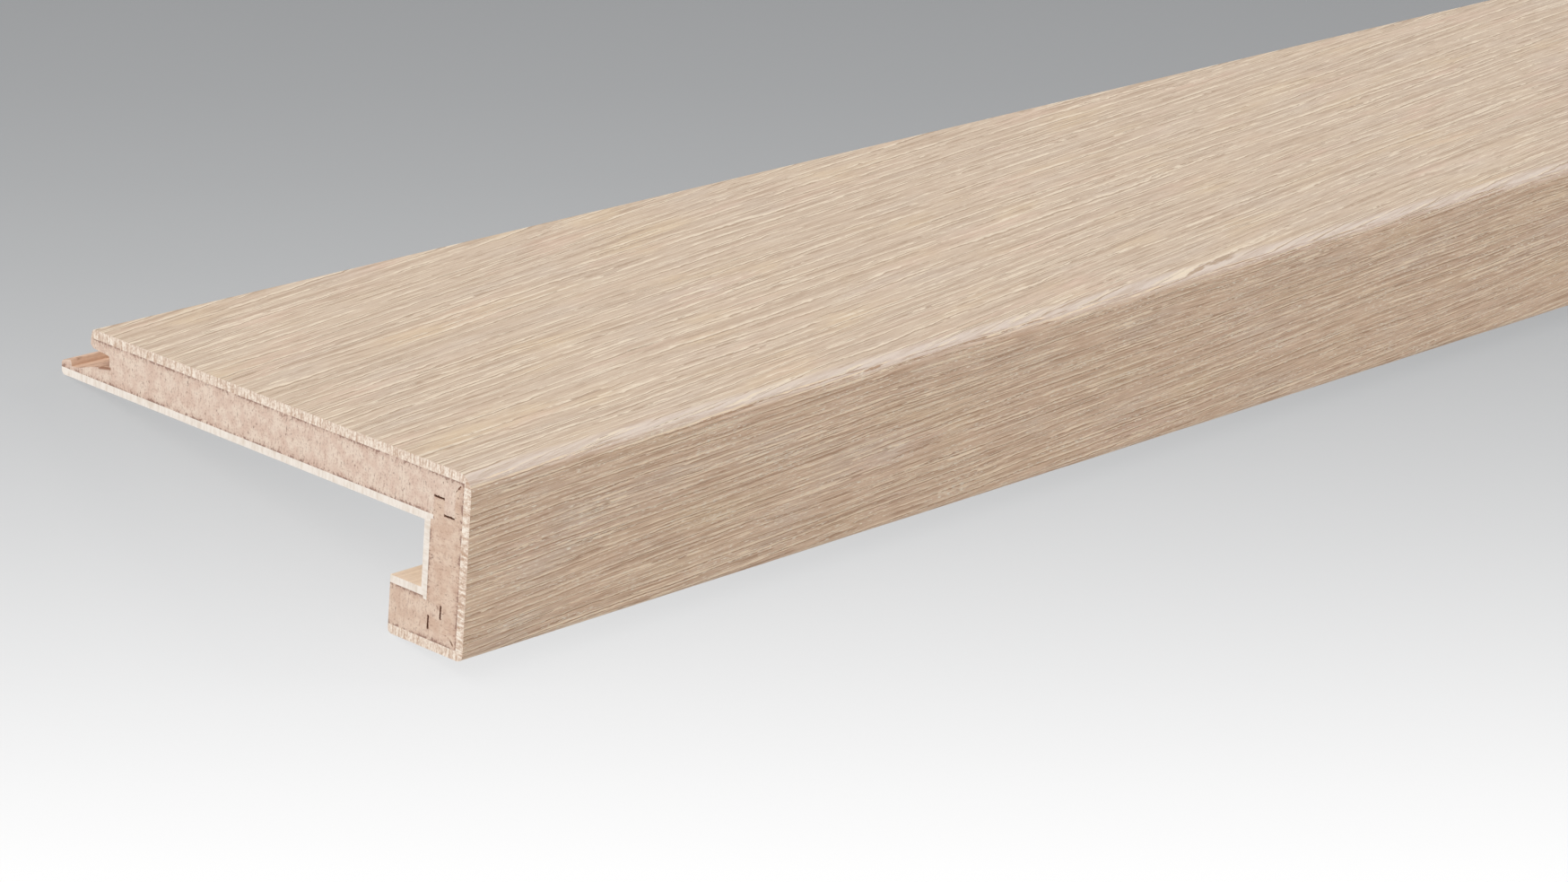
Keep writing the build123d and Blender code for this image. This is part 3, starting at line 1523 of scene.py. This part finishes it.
@dataclass(frozen=True)
class Lamp:
    """A square area lamp, with its place and side in metres and its power in watts."""

    name: str
    place: Triple
    side: float
    power: float
    tone: Tone

    def hang(self, target: Vector) -> None:
        """Hang the lamp, so that it shines at a target.

        Args:
            target: What it shines at, in metres.
        """
        data = bpy.data.lights.new(self.name, "AREA")
        data.shape = "SQUARE"
        data.size = self.side
        data.energy = self.power
        data.color = self.tone.linear()[:3]
        lamp = link(self.name, data)
        lamp.location = self.place
        lamp.rotation_euler = (target - lamp.location).to_track_quat("-Z", "Y").to_euler()


@dataclass(frozen=True)
class Studio:
    """Camera, floor, backdrop and lamps."""

    section: Section
    plain_tone: Tone = Tone(222, 222, 223)
    backdrop_foot: Tone = Tone(255, 255, 255)
    backdrop_top: Tone = Tone(143, 145, 147)
    backdrop_steps: int = 10
    backdrop_eased: float = 0.45
    fade_start: float = 1.04
    fade_end: float = 3.0
    floor_white: Tone = Tone(255, 255, 255)
    floor_clear: float = 0.92
    floor_half: float = 12.0
    room_light: Tone = Tone(252, 252, 255)
    room_strength: float = 0.5
    camera_place: Triple = (-680.3, -664.4, 340.2)
    camera_heading: float = 40.536
    camera_pitch: float = -19.031
    camera_roll: float = 4.407
    focal_pixels: float = 5511.0
    lamp_target: Triple = (-0.4, 0, 0.03)
    lamps: tuple[Lamp, ...] = (
        Lamp("key", (-3.5, 0.9, 3.4), 2.4, 122, Tone(255, 252, 248)),
        Lamp("end_fill", (-3.2, -0.5, 0.7), 1.2, 6, Tone(255, 250, 246)),
        Lamp("front_fill", (-0.9, -3.0, 0.7), 1.2, 8, Tone(255, 248, 240)),
        Lamp("edge_light", (2.6, -0.9, 2.9), 1.0, 38, Tone(255, 252, 246)),
    )

    def set_camera(self) -> bpy.types.Object:
        """Place the camera, which is given on the axes of the nosing as it sits on a stair.

        Its directions are found there from heading, pitch and roll. They and its place are then
        turned with the section by the slope and moved with it.

        Returns:
            The camera.
        """
        heading = radians(self.camera_heading)
        pitch = radians(self.camera_pitch)
        roll = radians(self.camera_roll)
        ahead = Vector((cos(heading) * cos(pitch), sin(heading) * cos(pitch), sin(pitch)))
        level = ahead.cross(Vector((0, 0, 1))).normalized()
        above = level.cross(ahead)
        right = level * cos(roll) + above * sin(roll)
        up = right.cross(ahead)
        lie = Matrix.Rotation(-self.section.slope, 3, "X")
        end_corner = Vector((-self.section.length / 2, *self.section.origin))
        place = (lie @ Vector(self.camera_place) + end_corner) * MM
        data = bpy.data.cameras.new("camera")
        data.sensor_width = SENSOR_WIDTH
        data.lens = self.focal_pixels / PHOTO_WIDTH * SENSOR_WIDTH
        data.clip_start = 0.05
        camera = link("camera", data)
        axes = Matrix((lie @ right, lie @ up, lie @ -ahead)).transposed()
        camera.matrix_world = Matrix.Translation(place) @ axes.to_4x4()
        bpy.context.scene.camera = camera
        return camera

    def lay_floor(self) -> None:
        """Lay a pale floor, which lights the nosing from below and takes its faint shadow."""
        half = self.floor_half
        corners = [(-half, -half, 0), (half, -half, 0), (half, half, 0), (-half, half, 0)]
        mesh = bpy.data.meshes.new("floor")
        mesh.from_pydata(corners, [], [(0, 1, 2, 3)])
        mesh.materials.append(self.floor_material())
        link("floor", mesh)

    def floor_material(self) -> bpy.types.Material:
        """Make the floor's material: matt and pale, and nearly clear where it is looked at.

        So the backdrop shows through it, with the nosing's shadow on it.

        Returns:
            The material.
        """
        r = Paint("floor_paint")
        seen = r.seen()
        r.feed(r.shader.inputs["Base Color"], r.blend(self.plain_tone, self.floor_white, seen))
        r.feed(r.shader.inputs["Roughness"], 1.0)
        r.feed(r.shader.inputs["Specular IOR Level"], 0.0)
        clear = r.node("ShaderNodeBsdfTransparent").outputs["BSDF"]
        r.send(r.shader.outputs["BSDF"], clear, r.product(seen, self.floor_clear))
        return r.owner

    def paint_room(self, camera: bpy.types.Object) -> None:
        """Fill the room with pale light, and show the backdrop to the camera.

        The backdrop is plain, but graded in the directions of the photo's own view, from white at
        its foot to grey at its top. The height of a direction in the picture is its share upwards
        over its share ahead, times the focal length. Past the picture the grades fade to the plain
        tone.

        Args:
            camera: The camera, at its place.
        """
        r = Recipe(bpy.data.worlds.new("room"), "ShaderNodeOutputWorld")
        right, up, back = camera.matrix_world.to_3x3().col
        direction = r.node("ShaderNodeTexCoord").outputs["Generated"]
        ahead = r.math("MAXIMUM", r.along(direction, -back), TINY)
        rise = r.math("DIVIDE", r.along(direction, up), ahead)
        side = r.math("DIVIDE", r.along(direction, right), ahead)
        half_height = PHOTO_HEIGHT / 2 / self.focal_pixels
        half_width = PHOTO_WIDTH / 2 / self.focal_pixels
        ramp = r.node("ShaderNodeValToRGB", {0: r.step(rise, -half_height, half_height, False)})
        self.grade(ramp.color_ramp)
        outside = r.math(
            "MAXIMUM",
            r.product(r.math("ABSOLUTE", rise), 1 / half_height),
            r.product(r.math("ABSOLUTE", side), 1 / half_width),
        )
        graded = r.step(outside, self.fade_end, self.fade_start)
        seen = {"Color": r.blend(self.plain_tone, ramp.outputs["Color"], graded), "Strength": 1}
        light = {"Color": self.room_light, "Strength": self.room_strength}
        light_side, seen_side = (
            r.node("ShaderNodeBackground", inputs).outputs["Background"] for inputs in (light, seen)
        )
        r.send(light_side, seen_side, r.seen())
        bpy.context.scene.world = r.owner

    def grade(self, ramp: bpy.types.ColorRamp) -> None:
        """Grade the backdrop from its foot to its top, in part evenly and in part eased at the ends.

        Args:
            ramp: The ramp that gets the grades.
        """
        heights = np.linspace(0, 1, self.backdrop_steps + 1)
        shares = heights + self.backdrop_eased * (smooth(heights, 0, 1) - heights)
        while len(ramp.elements) < len(heights):
            ramp.elements.new(0.5)
        for element, height, share in zip(ramp.elements, heights, shares):
            element.position = height
            element.color = self.backdrop_foot.toward(self.backdrop_top, share).linear()

    def hang_lamps(self) -> None:
        """Hang the soft lamps."""
        for lamp in self.lamps:
            lamp.hang(Vector(self.lamp_target))


def face_oak(board: Board) -> BrushedOak:
    """Choose the finish of a board's face: the front board is warmer, with finer grain and more lime.

    Args:
        board: Which board.

    Returns:
        The finish.
    """
    name = f"{board.value}_oak_face"
    if board is Board.TREAD:
        return BrushedOak(name, base=Tone(210, 190, 169), pale=Tone(234, 218, 196), brown=Tone(184, 160, 138))
    warm = BrushedOak(name, base=Tone(210, 182, 157), pale=Tone(238, 217, 190), brown=Tone(178, 147, 122))
    fine = replace(
        warm, ring_width=2.0, sub_ring_width=1.3, ridge_width=0.36, groove_width=0.34, streak_width=0.5
    )
    return replace(
        fine, streak_share=0.5, fine_share=1.15, ring_share=0.85, sub_ring_share=0.75, fleck_share=0.9
    )


def finishes_of(board: Board, section: Section) -> dict[Layer, list[bpy.types.Material]]:
    """Make the materials of one board.

    Args:
        board: Which board.
        section: The nosing's section.

    Returns:
        For each layer its materials, in the order of the cuts.
    """
    name = board.value
    beige, pink = {
        Board.TREAD: (Tone(226, 209, 193), Tone(216, 193, 177)),
        Board.FRONT: (Tone(220, 199, 180), Tone(208, 181, 161)),
        Board.LIP: (Tone(223, 203, 185), Tone(211, 186, 167)),
    }[board]
    # Painted shade marks for the cores: slits and mitre, and on the tread also the ramp's foot.
    marks = (PaintedSlitShade(), PaintedRampShade()) if board is Board.TREAD else (PaintedSlitShade(),)
    oak_edge = LongGrain(f"{name}_oak_edge", Tone(224, 206, 184), Tone(202, 180, 156), Tone(170, 140, 114))
    oak_end = OakEnd(f"{name}_oak_end", board)
    if board is Board.FRONT:
        oak_end = replace(oak_end, base=Tone(220, 200, 182), rays_per_metre=1350, ray_share=0.9)
    core_edge = LongGrain(
        f"{name}_milled_core", Tone(230, 202, 180), Tone(206, 170, 144), Tone(140, 96, 74), marks
    ).material(section)
    core_end = Fibreboard(f"{name}_core_end", board, beige, pink, marks)
    # The veneer's face is written paler than its own colour: painted light that lifts the shaded lip top
    # under the tread.
    veneer_face_painted_light = LongGrain(
        f"{name}_veneer_face", Tone(249, 231, 210), Tone(233, 211, 188), Tone(203, 178, 153)
    ).material(section)
    veneer_end = VeneerEnd(f"{name}_veneer_end", board)
    return {
        Layer.WEAR: [face_oak(board).material(), oak_edge.material(section), oak_end.material(section)],
        Layer.CORE: [core_edge, core_edge, core_end.material(section)],
        Layer.BACKING: [veneer_face_painted_light, veneer_face_painted_light, veneer_end.material(section)],
    }


def main() -> None:
    """Build the nosing, dress it and set up the studio."""
    logging.basicConfig(level=logging.INFO, format="%(name)s: %(message)s")
    bpy.context.scene.view_settings.view_transform = "Standard"
    section = Section()
    studio = Studio(section)
    camera = studio.set_camera()
    boards = [
        BoardLayers(
            Board.TREAD, section, Grain(seed=11, ring_width=3.5, slant=6.6, drift=3.0),
            face_step=0.46, stations=330,
        ),
        BoardLayers(
            Board.FRONT, section, Grain(seed=41, ring_width=2.0, slant=2.3, drift=1.5),
            face_step=0.32, stations=380,
        ),
        BoardLayers(
            Board.LIP, section, Grain(seed=71, ring_width=2.4, slant=-1.8, drift=1.5),
            face_step=0.35, stations=360,
        ),
    ]
    for board in boards:
        board.build(finishes_of(board.board, section))
    studio.lay_floor()
    studio.paint_room(camera)
    studio.hang_lamps()


if __name__ == "__main__":
    main()
